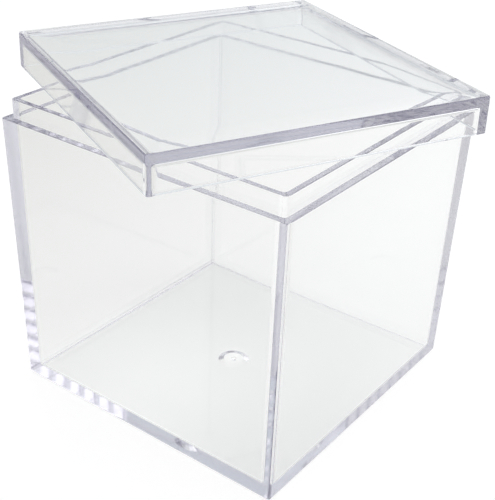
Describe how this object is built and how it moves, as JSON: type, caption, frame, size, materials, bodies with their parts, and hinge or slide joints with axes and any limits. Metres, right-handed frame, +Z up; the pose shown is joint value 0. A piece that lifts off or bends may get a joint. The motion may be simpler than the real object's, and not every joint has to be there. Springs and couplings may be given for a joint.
{
  "type": "storage box with lift-off lid",
  "caption": "Clear square box with a stepped neck around its mouth, and a shallow square lid that lifts off and is set askew on the rim.",
  "frame": {"origin": "centre of the box's flat underside, on the surface that the box stands on", "axes": "+Z up, X and Y along the box's sides, with the pictured front corner at +X, -Y"},
  "size_m": [0.1326, 0.1326, 0.105],
  "materials": {
    "box_clear": "clear moulded acrylic or polystyrene, polished, lavender-grey where the edges are seen end on",
    "lid_clear": "the same clear moulded plastic as the box, polished"
  },
  "bodies": {
    "box": {"box_body": "box_clear"},
    "lid": {"lid": "lid_clear"}
  },
  "joints": [
    {"name": "lid_lift", "type": "slide", "parent": "box", "child": "lid", "axis": [0, 0, 1], "range_m": [0, 0.12]}
  ]
}
